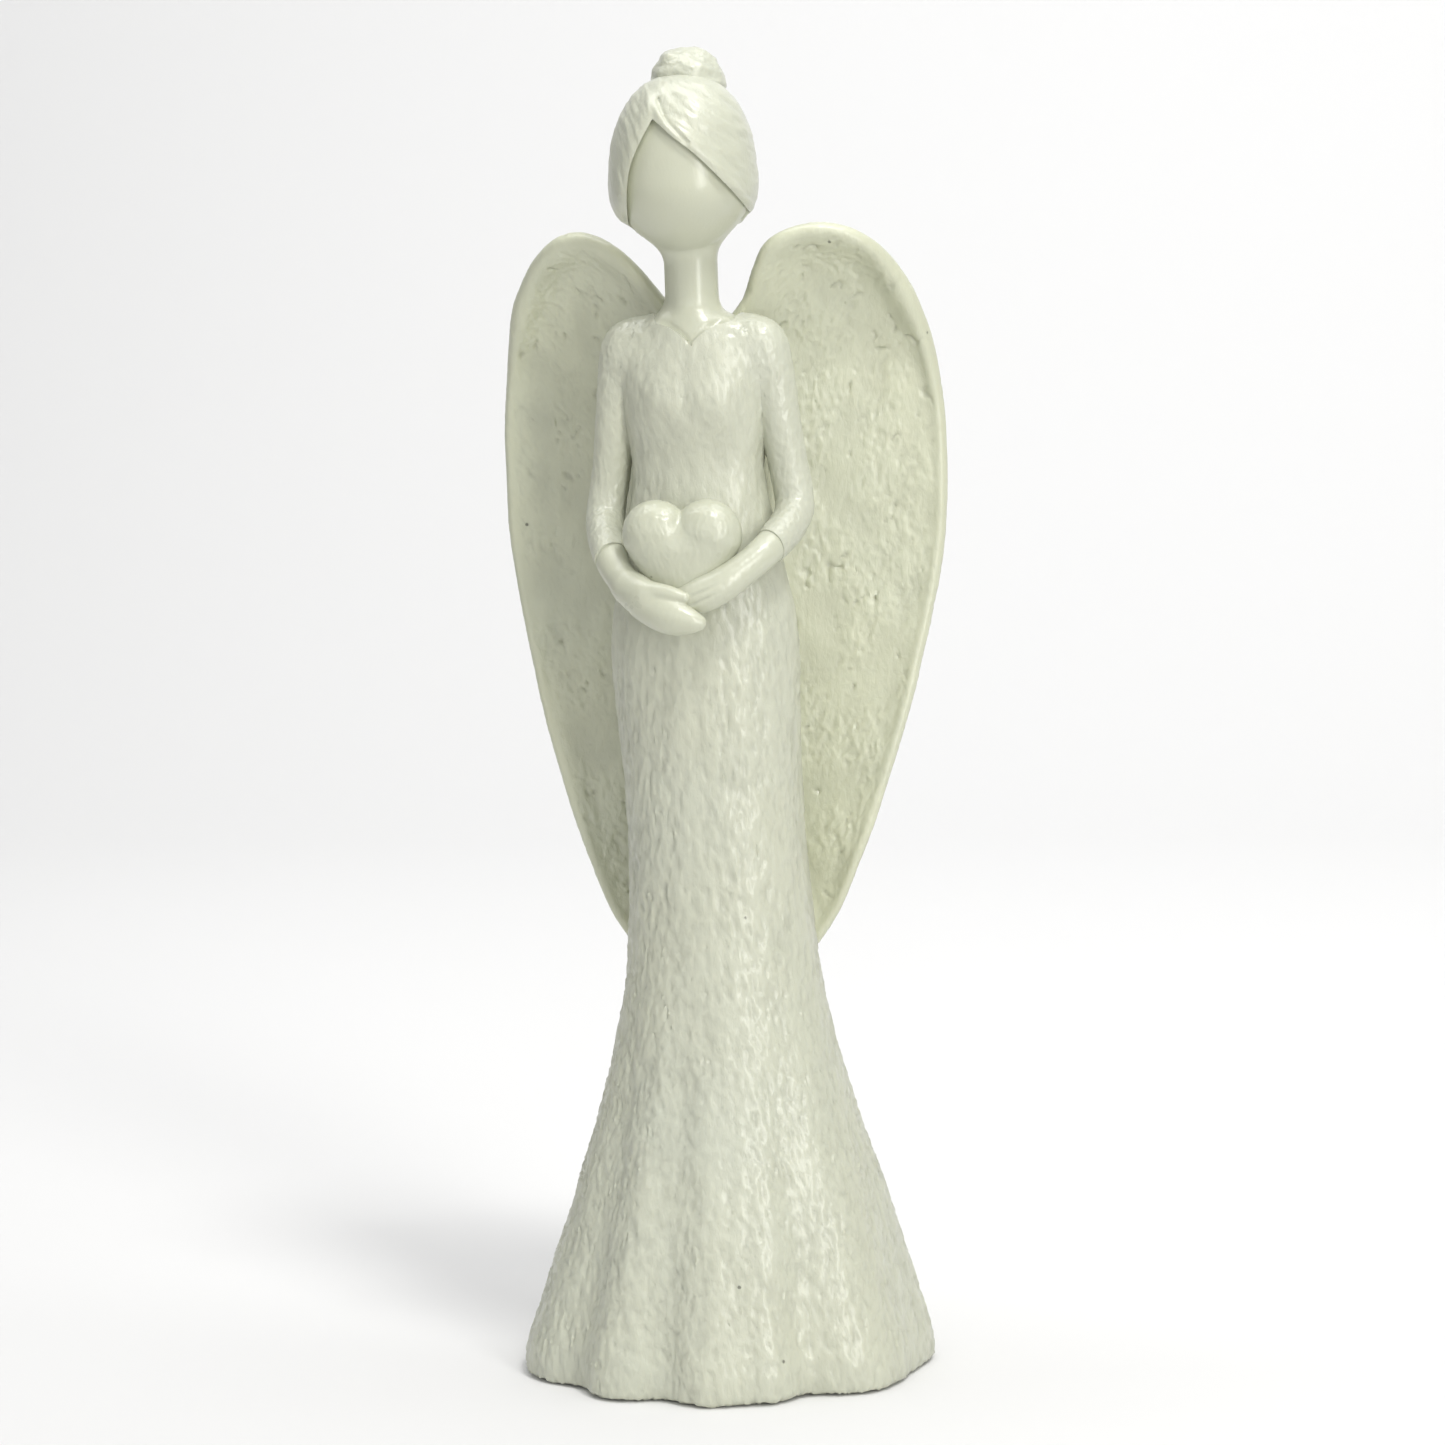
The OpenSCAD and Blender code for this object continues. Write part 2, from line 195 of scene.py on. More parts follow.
def nets(values, low, h):
    """Quads round the zero surface of a grid of values, with a vertex in each cell that it crosses."""
    inside = values < 0.0
    nx, ny, nz = inside.shape
    count = np.zeros((nx - 1, ny - 1, nz - 1), np.uint8)
    for i, j, k in CORNERS:
        count += inside[i : nx - 1 + i, j : ny - 1 + j, k : nz - 1 + k]
    active = (count > 0) & (count < 8)
    cells = np.argwhere(active)
    number = np.full(active.shape, -1, np.int64)
    number[active] = np.arange(len(cells))
    total, hits = np.zeros((len(cells), 3)), np.zeros(len(cells))
    for a, b in EDGES:
        va = values[tuple((cells + CORNERS[a]).T)]
        vb = values[tuple((cells + CORNERS[b]).T)]
        crossed = (va < 0) != (vb < 0)
        t = np.where(crossed, va / np.where(crossed, va - vb, 1.0), 0.0)
        total += crossed[:, None] * (CORNERS[a] + t[:, None] * (CORNERS[b] - CORNERS[a]))
        hits += crossed
    points = low + h * (cells + total / hits[:, None])
    quads = []
    for axis in range(3):
        u, v = (axis + 1) % 3, (axis + 2) % 3
        s = np.moveaxis(inside, (axis, u, v), (0, 1, 2))
        c = np.moveaxis(number, (axis, u, v), (0, 1, 2))
        first, second = s[:-1, 1:-1, 1:-1], s[1:, 1:-1, 1:-1]
        change = first != second
        ring = [c[:, :-1, :-1], c[:, 1:, :-1], c[:, 1:, 1:], c[:, :-1, 1:]]
        faces = np.stack([r[change] for r in ring], 1)
        outward = first[change]
        quads.append(np.where(outward[:, None], faces, faces[:, ::-1]))
    return points, np.concatenate(quads)


def slope(f, p, e=0.05):
    """A field's gradient at points p."""
    out = np.empty_like(p)
    for k in range(3):
        step = np.zeros(3)
        step[k] = e
        out[:, k] = (f(p + step) - f(p - step)) / (2 * e)
    return out


def settle(field, points, h, rounds=3):
    """Moves the vertices onto the field's surfaces, and onto both where two meet in an edge."""
    p = points.copy()
    for _ in range(rounds):
        for f in field:
            d = f(p)
            reach = np.abs(d) < 0.75 * h.min()
            if not reach.any():
                continue
            q = p[reach]
            g = slope(f, q)
            size = np.maximum(np.sum(g * g, axis=1), 0.05)
            move = -(d[reach] / size)[:, None] * g
            p[reach] = q + np.clip(move, -h.min(), h.min())
    return p


def normals(points, quads):
    """Vertex normals of a quad mesh."""
    a, b, c, d = (points[quads[:, k]] for k in range(4))
    n = np.cross(c - a, d - b)
    out = np.zeros_like(points)
    for k in range(4):
        np.add.at(out, quads[:, k], n)
    return out / np.maximum(np.linalg.norm(out, axis=1), 1e-12)[:, None]


def add_mesh(name, points, quads, relief_height):
    """A mesh object from points in drawn millimetres, with the relief height of each point, which the resin
    turns into painted shade in the hollows.
    """
    mesh = bpy.data.meshes.new(name)
    mesh.vertices.add(len(points))
    mesh.vertices.foreach_set("co", (points * METRES).ravel())
    mesh.loops.add(quads.size)
    mesh.loops.foreach_set("vertex_index", quads.ravel())
    mesh.polygons.add(len(quads))
    mesh.polygons.foreach_set("loop_start", np.arange(len(quads)) * 4)
    mesh.update(calc_edges=True)
    mesh.polygons.foreach_set("use_smooth", np.ones(len(quads), bool))
    mesh.set_sharp_from_angle(angle=math.radians(SHARP_ANGLE))
    mesh.attributes.new("relief_height", "FLOAT", "POINT").data.foreach_set("value", relief_height)
    piece = bpy.data.objects.new(name, mesh)
    bpy.context.collection.objects.link(piece)
    return piece


def sculpt(name, field, box, grid, relief, material):
    """One piece: meshes its field, cuts the relief into it and puts it in the place of its CAD node.

    The field is a list. Its first function is the outer surface and the others are cuts."""
    values, origin = sample(field, *box, grid)
    points, quads = nets(values, origin, grid)
    points = settle(field, points, grid)
    relief_height = np.zeros(len(points))
    if relief:
        relief_height = relief(points)
        seam = np.ones(len(points))
        for cut in field[1:]:
            seam = np.minimum(seam, ramp(-cut(points) / SEAM_FADE))
        points = points + normals(points, quads) * (relief_height * seam)[:, None]
    piece = add_mesh(name, points, quads, relief_height)
    piece.data.materials.append(material)
    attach(piece, "root")
    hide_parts(name)


# ---------------------------------------------------------------- the figure's shape, in drawn millimetres

# Gown cross-sections from hem to neck: height, half width, half depth, centre's y.
GOWN = Rows(
    [
        (0, 48.0, 41.2, 0),
        (4, 47.8, 41.1, 0),
        (17, 43.9, 38.0, 0),
        (31, 39.3, 34.5, 0),
        (45, 34.8, 30.8, 0.2),
        (58, 30.2, 27.2, 0.3),
        (72, 26.2, 23.9, 0.5),
        (90, 22.4, 20.6, 0.8),
        (112, 20.7, 18.3, 1),
        (134, 20.2, 16.8, 0.8),
        (152, 20.9, 15.9, 0.4),
        (170, 21.2, 14.6, 0),
        (187, 18.2, 12.3, -0.3),
        (207, 15.0, 10.1, -0.6),
        (221, 16.4, 11.0, -1),
        (232, 16.6, 9.6, -0.6),
        (237.5, 13.6, 8.4, 0),
        (241, 10.5, 7.2, 0),
    ]
)
GOWN_TOP = 240.3
# The hem hangs this far above the ground, because the figure stands on its felt.
HEM_Z = 0.5
# The skirt's middle leans this far to the figure's left.
LEAN = 1.2
# The bust's two rounds and the hollow of the waist: distance from the middle, height and depth.
BUST_X, BUST_Z, BUST_OUT = 6.4, 223.0, 1.5
WAIST_Z, WAIST_IN = 209.0, 0.9
# Round recesses under the skirt for the felt and the plug: radius and top.
FELT_RECESS = (33.0, 1.5)
PLUG_RECESS = (27.0, 5.0)

# Folds of the skirt: angle from the front towards the figure's left, depth share, half width in degrees.
FOLDS = [
    (-48, 1, 11),
    (-13, 1, 11),
    (16, 0.35, 9),
    (39, 1.25, 11),
    (82, 0.7, 14),
    (124, 0.9, 14),
    (166, 0.8, 14),
    (208, 0.9, 14),
    (258, 0.8, 14),
]
# How deep a whole fold is at the hem, and the height where it fades out.
FOLD_DEPTH = 4.8
FOLD_TOP_Z = 92.0

# The flat seat for the wings on the back of the bodice: its top, how it leans back, and its lower end.
SEAT_TOP_Z = 238.0
SEAT_TOP_Y = 7.0
SEAT_SLOPE = math.tan(math.radians(6.2))
SEAT_LOW_Z = 164.0

# The neckline's middle in x, the foot of its V and how far the V rises, and its height at the back.
NECKLINE_X = 1.2
V_Z, V_RISE = 234.2, 5.9
NAPE_Z = 238.2
# How far the dress stands proud of the skin at the neckline: in the middle and at the shoulders.
DRESS_T, DRESS_THIN = 0.7, 0.12
# The neck's radius, its middle in x and its top inside the head.
NECK_R, NECK_X, NECK_TOP = 6.5, 0.1, 258.0

# Left arm: the path's x, y, z and the radius. The right arm mirrors it with a lower cuff.
ARM = [
    (14.2, 0, 236.6, 3.6),
    (15.7, 0, 234, 5.4),
    (16.9, 0, 228.6, 5.4),
    (18.9, 0.3, 216.2, 4.7),
    (20.6, 0.8, 205.3, 4.4),
    (21.8, -0.4, 197.6, 4.4),
    (21.0, -5, 193.6, 4.2),
    (18.9, -10.4, 190.3, 4.0),
    (17.2, -13.6, 188.2, 3.8),
]
# The right cuff is this much lower. A sleeve ends at this share of its path's last stretch.
CUFF_DROP = 2.4
CUFF_SHARE = 0.45

# Hands: centre line x, y, z and radius, from inside the cuff to the fingertips.
LEFT_HAND = [
    (18.9, -10.4, 190.3, 3.75),
    (17.0, -13.9, 188.1, 3.7),
    (13.2, -17.4, 184.9, 3.6),
    (8.8, -20.0, 181.8, 3.9),
    (3.8, -21.4, 179.4, 3.9),
    (-1.2, -21.2, 178.2, 2.7),
]
RIGHT_HAND = [
    (-18.9, -10.4, 188.6, 3.9),
    (-17.3, -13.4, 185.9, 3.75),
    (-14.0, -17.2, 182.3, 3.6),
    (-9.0, -21.2, 178.6, 4.2),
    (-3.0, -24.0, 175.7, 4.3),
    (1.4, -25.0, 174.4, 3.1),
    (4.2, -25.2, 173.9, 1.8),
]
THUMB = [
    (-13.0, -18.6, 181.6, 2.6),
    (-7.4, -22.6, 180.7, 2.5),
    (-2.6, -24.2, 180.2, 2.0),
    (1.0, -24.6, 179.4, 1.35),
]

# Heart: its middle, the two lobes (across, forward, up, radius) and the point that they run down to.
HEART_C = np.array([-0.6, -15.6, 190.3])
LOBES = [(-6.1, -0.9, 2.7, 7.6), (5.3, 0.3, 2.2, 7.9)]
POINT_R, POINT_Z = 6.5, -6.8

# Head: an egg on the neck, turned to the figure's left. Its radius and heights include the hair.
HEAD_C = np.array([-0.6, -2.0, 0.0])
HEAD_TURN = math.radians(12)
HEAD_R = 16.7
CHIN_Z, CHEEK_Z, CROWN_Z = 253.2, 270.0, 294.3
# The hair's thickness, and the height at which it ends at the nape and the sides.
HAIR_T = 0.9
HAIRLINE_Z = 261.8

# Hair edges on the front of the head: the sweep falls to the figure's left, the short side to the right.
# SWEEP gives the height for each x across the face, and SIDE gives x for each height.
SWEEP = Rows(
    [
        (-12, 287.5),
        (-6.3, 284.4),
        (-2.5, 280.8),
        (2.8, 276.4),
        (7.9, 271.2),
        (11.3, 267.4),
        (14.6, 263.1),
        (20, 255),
    ]
)
SIDE = Rows(
    [
        (246, -11.8),
        (257, -12.3),
        (265.4, -12.7),
        (269.3, -12.5),
        (274.1, -11.6),
        (279.5, -9.2),
        (284.4, -6.3),
        (290, -3),
    ]
)

# A second line above the sweep, from the crown down to its edge.
SECOND_LINE = [(-4.9, 288.6), (-4.3, 286.2), (-3.0, 283.6), (-0.9, 281.2), (1.2, 279.0)]

# Bun: the middle of its foot, its radius and its height.
BUN = np.array([0.2, 2.4, 291.0])
BUN_R, BUN_HIGH = 7.6, 9.2


def box_gap(p, low, high):
    """How far points are outside a box."""
    return np.linalg.norm(np.maximum(np.maximum(np.array(low) - p, p - np.array(high)), 0.0), axis=1)


def near_only(f, low, high, margin=6.0):
    """The same field, worked out only near its box. Further away it is the distance to the box."""

    def out(p):
        gap = box_gap(p, low, high)
        value = gap + margin * 0.5
        close = gap < margin
        if close.any():
            value[close] = f(p[close])
        return value

    return out


def tube(path, flat=1.0, normal=(0, 1, 0)):
    """Field of a round bar along path rows (x, y, z, radius), thinner along normal where flat is over 1."""
    rows = smooth_path(path, 5)
    n = np.array(normal, float)
    n /= np.linalg.norm(n)
    squeeze = np.eye(3) + (flat - 1.0) * np.outer(n, n)
    spine = rows[:, :3] @ squeeze
    radius = rows[:, 3]

    def field(p):
        q = p @ squeeze
        best = np.full(len(p), 1e9)
        for i in range(len(spine) - 1):
            a, b = spine[i], spine[i + 1]
            ab = b - a
            t = np.clip((q - a) @ ab / (ab @ ab), 0.0, 1.0)
            thick = radius[i] + t * (radius[i + 1] - radius[i])
            best = np.minimum(best, np.linalg.norm(q - a - t[:, None] * ab, axis=1) - thick)
        return best / (1.0 + 0.5 * (flat - 1.0))

    reach = rows[:, 3].max()
    return near_only(field, rows[:, :3].min(0) - reach, rows[:, :3].max(0) + reach)


def mirrored(path):
    """An arm's path on the other side, with its cuff lower."""
    last = len(path) - 1
    return [(-x, y, z - CUFF_DROP * (i / last) ** 3, r) for i, (x, y, z, r) in enumerate(path)]


LEFT_ARM = tube(ARM)
RIGHT_ARM = tube(mirrored(ARM))


def fold_cut(angle, z):
    """How much the skirt's outline draws in at an angle (degrees) and a height."""
    rise = np.maximum(0.0, 1.0 - z / FOLD_TOP_Z) ** 1.4
    total = np.zeros(len(z))
    for at, share, width in FOLDS:
        gap = np.abs((angle - at + 180.0) % 360.0 - 180.0)
        total += share * np.exp(-((gap / width) ** 2))
    return FOLD_DEPTH * rise * total


def skirt_lean(z):
    """The skirt's middle leans a little to the figure's left on its way down."""
    return LEAN * ramp((z - 2.0) / 40.0) * ramp((165.0 - z) / 70.0)


def torso(p):
    """Gown and bodice as one smooth loft, without arms."""
    x, y, z = p.T
    x = x - skirt_lean(z)
    a, b, c = GOWN(z, 1), GOWN(z, 2), GOWN(z, 3)
    low = z < FOLD_TOP_Z
    cut = np.zeros(len(p))
    if low.any():
        cut[low] = fold_cut(np.degrees(np.arctan2(x[low], c[low] - y[low])), z[low])
    a, b = a - cut, b - cut
    bust = np.exp(-(((np.abs(x) - BUST_X) / 5.6) ** 2) - ((z - BUST_Z) / 6.5) ** 2)
    waist = np.exp(-((x / 13.0) ** 2) - ((z - WAIST_Z) / 7.5) ** 2)
    b = b + np.where(y < c, BUST_OUT * bust - WAIST_IN * waist, 0.0)
    e = np.sqrt((x / a) ** 2 + ((y - c) / b) ** 2)
    steep = np.sqrt((x / a**2) ** 2 + ((y - c) / b**2) ** 2)
    d = (e - 1.0) * e / np.maximum(steep, 1e-3)
    return soft_max(d, z - GOWN_TOP, 3.0)


def seat_y(z):
    """The wing seat's y at a height."""
    return SEAT_TOP_Y + (SEAT_TOP_Z - z) * SEAT_SLOPE


def seat_gap(p):
    """How far a point is behind the wing seat. Below the seat it is well clear."""
    return np.where(p[:, 2] > SEAT_LOW_Z, p[:, 1] - seat_y(p[:, 2]), -5.0)


def arms(p):
    """Both arms."""
    return np.minimum(LEFT_ARM(p), RIGHT_ARM(p))


def dressed(p):
    """The dress with its sleeves, blended softly at the shoulders and creased below them."""
    k = 0.7 + 5.0 * ramp((p[:, 2] - 221.0) / 16.0)
    ridge = 0.3 * dress_step(p) * np.exp(-(((neckline(p) + 0.7) / 0.9) ** 2))
    return soft_min(bare(p) - ridge, arms(p), k)


def bare(p):
    """Torso and neck as one shape."""
    return soft_min(torso(p), pillar(p), 6.0)


def dress_step(p):
    """How far the dress stands proud of the skin. It fades towards the shoulders."""
    middle = ramp((8.5 - np.abs(p[:, 0] - NECKLINE_X)) / 4.0)
    return DRESS_THIN + (DRESS_T - DRESS_THIN) * middle


def neckline(p):
    """Height above the neckline: a V in front and a shallow curve behind."""
    across = np.abs(p[:, 0] - NECKLINE_X)
    front = V_Z + V_RISE * (1.0 - np.exp(-across / 4.2)) + 0.6 * np.maximum(0.0, across - 8.0) ** 2
    back = NAPE_Z + 0.025 * p[:, 0] ** 2
    share = ramp((p[:, 1] + 3.0) / 6.0)
    return (p[:, 2] - (front + (back - front) * share)) * 0.75


def pillar(p):
    """The round neck."""
    return np.maximum(np.hypot(p[:, 0] - NECK_X, p[:, 1]) - NECK_R, p[:, 2] - NECK_TOP)


def skin(p):
    """Neck, and the chest under the dress, with a fine groove along the neckline."""
    groove = 0.5 * dress_step(p) * np.exp(-(((neckline(p) - 0.3) / 0.6) ** 2))
    return bare(p) + dress_step(p) + groove


def egg(p, inset=0.0):
    """The head with its hair, or less by an inset: round above the cheeks, narrowing to the chin."""
    x, y, z = (p - HEAD_C).T
    r = HEAD_R - inset
    up, down = CROWN_Z - inset - CHEEK_Z, CHEEK_Z - CHIN_Z - inset
    s = np.where(z > CHEEK_Z, (z - CHEEK_Z) / up, (CHEEK_Z - z) / down)
    power = 1.7 + 0.6 * ramp((z - CHEEK_Z + 11.0) / 22.0)
    rho = np.hypot(x, y) / r
    e = (rho**power + np.maximum(s, 1e-6) ** power) ** (1.0 / power)
    return (e - 1.0) * r * 0.95


def head_frame(p):
    """x across the face and y through it, for the turned head."""
    q = p - HEAD_C
    c, s = math.cos(HEAD_TURN), math.sin(HEAD_TURN)
    return q[:, 0] * c + q[:, 1] * s, -q[:, 0] * s + q[:, 1] * c


def hair_edge(p):
    """How far a point is inside the face opening (more than 0) or the hair (less than 0)."""
    x, y = head_frame(p)
    under_sweep = (SWEEP(x, 1) - p[:, 2]) * 0.72
    beside = (x - SIDE(p[:, 2], 1)) * 0.93
    return np.minimum(np.minimum(under_sweep, beside), -y - 1.0)


def hairline(p):
    """How far a point is below the hairline at the sides and the nape."""
    side = HAIRLINE_Z - 3.4 * ramp((1.0 - p[:, 0]) / 10.0)
    return (side - p[:, 2] - 0.2 * (p[:, 1] - HEAD_C[1])) * 0.97


def head_skin(p):
    """Smooth head that flows into the neck, with a small crease under the chin."""
    _, y = head_frame(p)
    k = 0.5 + 2.8 * ramp((y + 7.0) / 6.0)
    return soft_min(egg(p, HAIR_T), skin(p), k)


def flat_gap(x, z, line):
    """Distance in the x-z plane to a line of points."""
    best = np.full(len(x), 1e9)
    for (ax, az), (bx, bz) in zip(line, line[1:]):
        ex, ez = bx - ax, bz - az
        t = np.clip(((x - ax) * ex + (z - az) * ez) / (ex * ex + ez * ez), 0.0, 1.0)
        best = np.minimum(best, np.hypot(x - ax - t * ex, z - az - t * ez))
    return best


def hair_top(p):
    """Outer surface of the hair, thicker along the edges round the face."""
    gap = -hair_edge(p)
    x, _ = head_frame(p)
    wide = 1.3 + 0.6 * ramp((-3.0 - x) / 3.0)
    lip = 0.6 * np.exp(-(((gap - 0.9 * wide) / wide) ** 2)) + 0.25 * np.exp(-((gap / 4.0) ** 2))
    line = np.exp(-((flat_gap(x, p[:, 2], SECOND_LINE) / 0.5) ** 2))
    front = ramp(-(p[:, 1] + 6.0) / 3.0)
    thin = (HAIR_T - 0.1) * ramp((5.5 + hairline(p)) / 5.0) * (1.0 - 0.55 * ramp((x - 2.0) / 6.0))
    return egg(p) - lip * ramp(-hairline(p) / 5.0) + thin + 0.55 * line * front


def bun(p):
    """A knobbly dome with a band of hair twisted round it."""
    q = p - BUN
    r, z = np.hypot(q[:, 0], q[:, 1]), q[:, 2]
    angle = np.arctan2(q[:, 1], q[:, 0])
    band = np.exp(-(((z - 3.4 - 0.7 * np.cos(angle + 2.0)) / 1.4) ** 2))
    flare = np.exp(-(((z - 0.8) / 1.5) ** 2))
    lumps = 0.4 * band + 0.9 * flare + 0.45 * noise(p, (3.6, 3.6, 3.0), 75)
    up = np.maximum(0.0, z - 1.2) / (BUN_HIGH - 1.2)
    e = ((r / BUN_R) ** 2.4 + up**2.4) ** (1 / 2.4)
    return (e - 1.0) * BUN_R * 0.85 - lumps


def heart(p):
    """Two puffy lobes that run down to one point. The one on the figure's right bulges in front."""
    q = (p - HEART_C) * np.array([1.0, 1.2, 1.0])
    k = 0.8 + 6.5 * ramp((6.5 - q[:, 2]) / 8.0)
    sides = []
    for across, forward, high, radius in LOBES:
        a = np.array([across, forward, high])
        b = np.array([0.42 * across, 0.4, POINT_Z])
        ab = b - a
        t = np.clip((q - a) @ ab / (ab @ ab), 0.0, 1.0)
        d = np.linalg.norm(q - a - t[:, None] * ab, axis=1)
        sides.append(d - radius * (1 - t) - POINT_R * t)
    return soft_min(sides[0], sides[1], k) * 0.9


HEART_NEAR = near_only(heart, HEART_C - [15, 8, 12], HEART_C + [15, 8, 12])


def hand_right_shape():
    """The upper hand, with a thumb that parts from it towards its tip."""
    palm = tube(RIGHT_HAND, 1.15, (-0.35, -1.0, 0.25))
    thumb = tube(THUMB)
    return lambda p: soft_min(palm(p), thumb(p), 0.5 + 2.5 * ramp((-4.5 - p[:, 0]) / 5.0))


HAND_LEFT = tube(LEFT_HAND, 1.1, (0.2, -1.0, 0.3))
HAND_RIGHT = hand_right_shape()


# ---------------------------------------------------------------- wings

# From the middle of the figure to the widest point of a wing.
HALF_SPAN = 52.4
# Wing sections from tip to top: height, inner edge, outer edge, outer rim's y.
WING = Rows(
    [
        (90, 21.6, 22.4, 7.5),
        (96, 20.3, 22.9, 8),
        (104, 17.6, 27.5, 9),
        (118, 13, 33.2, 11),
        (131, 9, 37.8, 13.5),
        (145, 5.4, 42.1, 16.5),
        (163, 1.6, 46.7, 20.5),
        (182, 0.2, 50.8, 24),
        (200, 0.2, 52.3, 25.5),
        (214, 0.2, 52.4, 26),
        (232, 0.8, 50.2, 24.5),
        (241, 4, 47.8, 21),
        (250, 9, 43.9, 16),
        (259, 18, 36.0, 9.5),
        (264, 20, 34.0, 6),
    ]
)
# How deep the leaf is cupped, and its thickness at the rim and at the root.
WING_CUP = 3.4
WING_T, ROOT_T = 3.0, 6.6
# Round the dowels the root is filled out into the back of the bodice: width, depth, lower end and top.
ROOT_WIDE, ROOT_DEEP = 11.0, 4.0
ROOT_LOW_Z, ROOT_TOP_Z = 158.0, 238.5
# Wing and gown stay this far apart.
WING_FIT = 0.12
# A leaf's outer edge, x and z, from its tip to the shoulder of the wing, and its inner edge below the neck.
OUTER_EDGE = [
    (21.5, 95.8), (23.4, 98.0), (27.6, 104.5), (31.6, 114), (35.1, 123), (38.2, 132), (41.1, 141),
    (43.7, 150), (46.8, 163), (50.0, 177.5), (51.9, 191), (52.4, 205), (52.3, 214.5), (51.4, 224),
    (50.1, 233), (47.7, 242),
]
INNER_EDGE = [
    (0.5, 232.0), (0.25, 214), (0.25, 196), (0.25, 182), (1.8, 163), (5.6, 145), (9.2, 131), (13.4, 118),
    (17.8, 104), (19.9, 97.6),
]
# The top of each leaf differs a little.
LEFT_TOP = [
    (45.0, 248.4), (40.6, 254.9), (34.6, 259.0), (27.4, 260.5), (21.2, 259.5), (15.6, 256.2), (12.2, 250.6),
    (9.4, 244.0), (5.0, 238.4),
]
RIGHT_TOP = [
    (44.6, 248.0), (39.8, 254.4), (34.2, 258.6), (28.4, 260.1), (23.2, 258.9), (18.2, 255.8), (13.6, 251.2),
    (9.6, 246.0), (5.0, 239.6),
]
LEFT_LEAF = OUTER_EDGE + LEFT_TOP + INNER_EDGE
RIGHT_LEAF = OUTER_EDGE + RIGHT_TOP + INNER_EDGE
# Spacing of the grid in which the distance to a leaf's outline is looked up.
LEAF_STEP = 0.5


class Leaf:
    """Signed distance to a smooth closed outline in the x-z plane, looked up in a grid."""

    def __init__(self, points, low=(-6.0, 88.0), high=(60.0, 268.0)):
        closed = np.array(points[-2:] + points + points[:3], float)
        curve = smooth_path(closed, 5)[10:-10]
        a, b = curve, np.roll(curve, -1, 0)
        self.low = np.array(low)
        self.n = ((np.array(high) - self.low) / LEAF_STEP).astype(int) + 1
        xs = low[0] + LEAF_STEP * np.arange(self.n[0])
        zs = low[1] + LEAF_STEP * np.arange(self.n[1])
        px, pz = (g.ravel() for g in np.meshgrid(xs, zs, indexing="ij"))
        best = np.full(len(px), 1e9)
        inside = np.zeros(len(px), bool)
        for (ax, az), (bx, bz) in zip(a, b):
            ex, ez = bx - ax, bz - az
            t = np.clip(((px - ax) * ex + (pz - az) * ez) / max(ex * ex + ez * ez, 1e-12), 0, 1)
            best = np.minimum(best, np.hypot(px - ax - t * ex, pz - az - t * ez))
            if ez != 0.0:
                inside ^= ((az > pz) != (bz > pz)) & (px < ax + (pz - az) * ex / ez)
        self.grid = np.where(inside, -best, best).reshape(self.n)

    def __call__(self, x, z):
        """The distance at points x, z: less than 0 inside."""
        q = (np.stack([x, z], 1) - self.low) / LEAF_STEP
        q = np.clip(q, 0, self.n - 1.001)
        i = q.astype(int)
        f = q - i
        g = self.grid
        a = g[i[:, 0], i[:, 1]] * (1 - f[:, 0]) + g[i[:, 0] + 1, i[:, 1]] * f[:, 0]
        b = g[i[:, 0], i[:, 1] + 1] * (1 - f[:, 0]) + g[i[:, 0] + 1, i[:, 1] + 1] * f[:, 0]
        return a * (1 - f[:, 1]) + b * f[:, 1]


LEFT_OUTLINE, RIGHT_OUTLINE = Leaf(LEFT_LEAF), Leaf(RIGHT_LEAF)


def wing_sheet(x, z):
    """The leaf's middle surface: front y without its rim, and the share of the way from root to rim."""
    xi, xo, yo = WING(z, 1), WING(z, 2), WING(z, 3)
    u = np.clip((x - xi) / (xo - xi), 0.0, 1.05)
    a, b, c = GOWN(z, 1), GOWN(z, 2), GOWN(z, 3)
    behind = c + b * np.sqrt(np.clip(1.0 - (xi / a) ** 2, 0.0, 1.0))
    yi = behind + (seat_y(z) - behind) * ramp((z - 150.0) / 24.0)
    cup = WING_CUP * (xo - xi) / HALF_SPAN * 4.0 * u * (1.0 - u)
    return yi + (yo - yi) * u + cup, u


def wing_rim(d, z):
    """Raised roll along the edge, for a distance d inside the outline."""
    high = ramp((z - 215.0) / 30.0)
    wide = 3.0 + 4.2 * high
    tall = 0.55 + 2.05 * high
    roll = tall * np.exp(-(((d - wide * 0.42) / (wide * 0.5)) ** 2))
    hollow = (0.05 + 0.75 * high) * np.exp(-(((d - wide * 1.9) / wide) ** 2))
    return roll - hollow


def wing(side, leaf):
    """Fields of one wing: the leaf, and the gown that its root is fitted to."""

    def shape(p):
        x, y, z = p[:, 0] * side, p[:, 1], p[:, 2]
        edge = leaf(x, z)
        front, u = wing_sheet(x, z)
        roll = wing_rim(-edge, z)
        root = np.maximum(0.0, 1.0 - u * 2.4) ** 1.2
        root = root * ramp((z - ROOT_LOW_Z) / 20.0) * ramp((250.0 - z) / 16.0)
        thick = WING_T + 0.4 * np.maximum(roll, 0.0) + (ROOT_T - WING_T) * root
        pad = ramp((ROOT_WIDE + 3.5 - x) / 3.5) * ramp((z - ROOT_LOW_Z) / 12.0) * ramp((ROOT_TOP_Z - z) / 5.0)
        face = front - roll - pad * np.maximum(0.0, front - roll - (seat_y(z) - ROOT_DEEP))
        faces = np.maximum(face - y, y - front - thick)
        return soft_max(faces * 0.85, edge, 2.6)

    return [shape, lambda p: WING_FIT - gown_solid(p)]


# ---------------------------------------------------------------- pieces

# How far a piece runs into the one that it rests against, so that no gap shows.
BITE = 0.15


def gown_solid(p):
    """The gown with its wing seat, for fitting other pieces to it."""
    return np.maximum(np.maximum(dressed(p), seat_gap(p)), HEM_Z - p[:, 2])


def gown_outer(p):
    """The gown's outer surface, rounded at the hem."""
    return soft_max(dressed(p), HEM_Z - p[:, 2], 1.6)


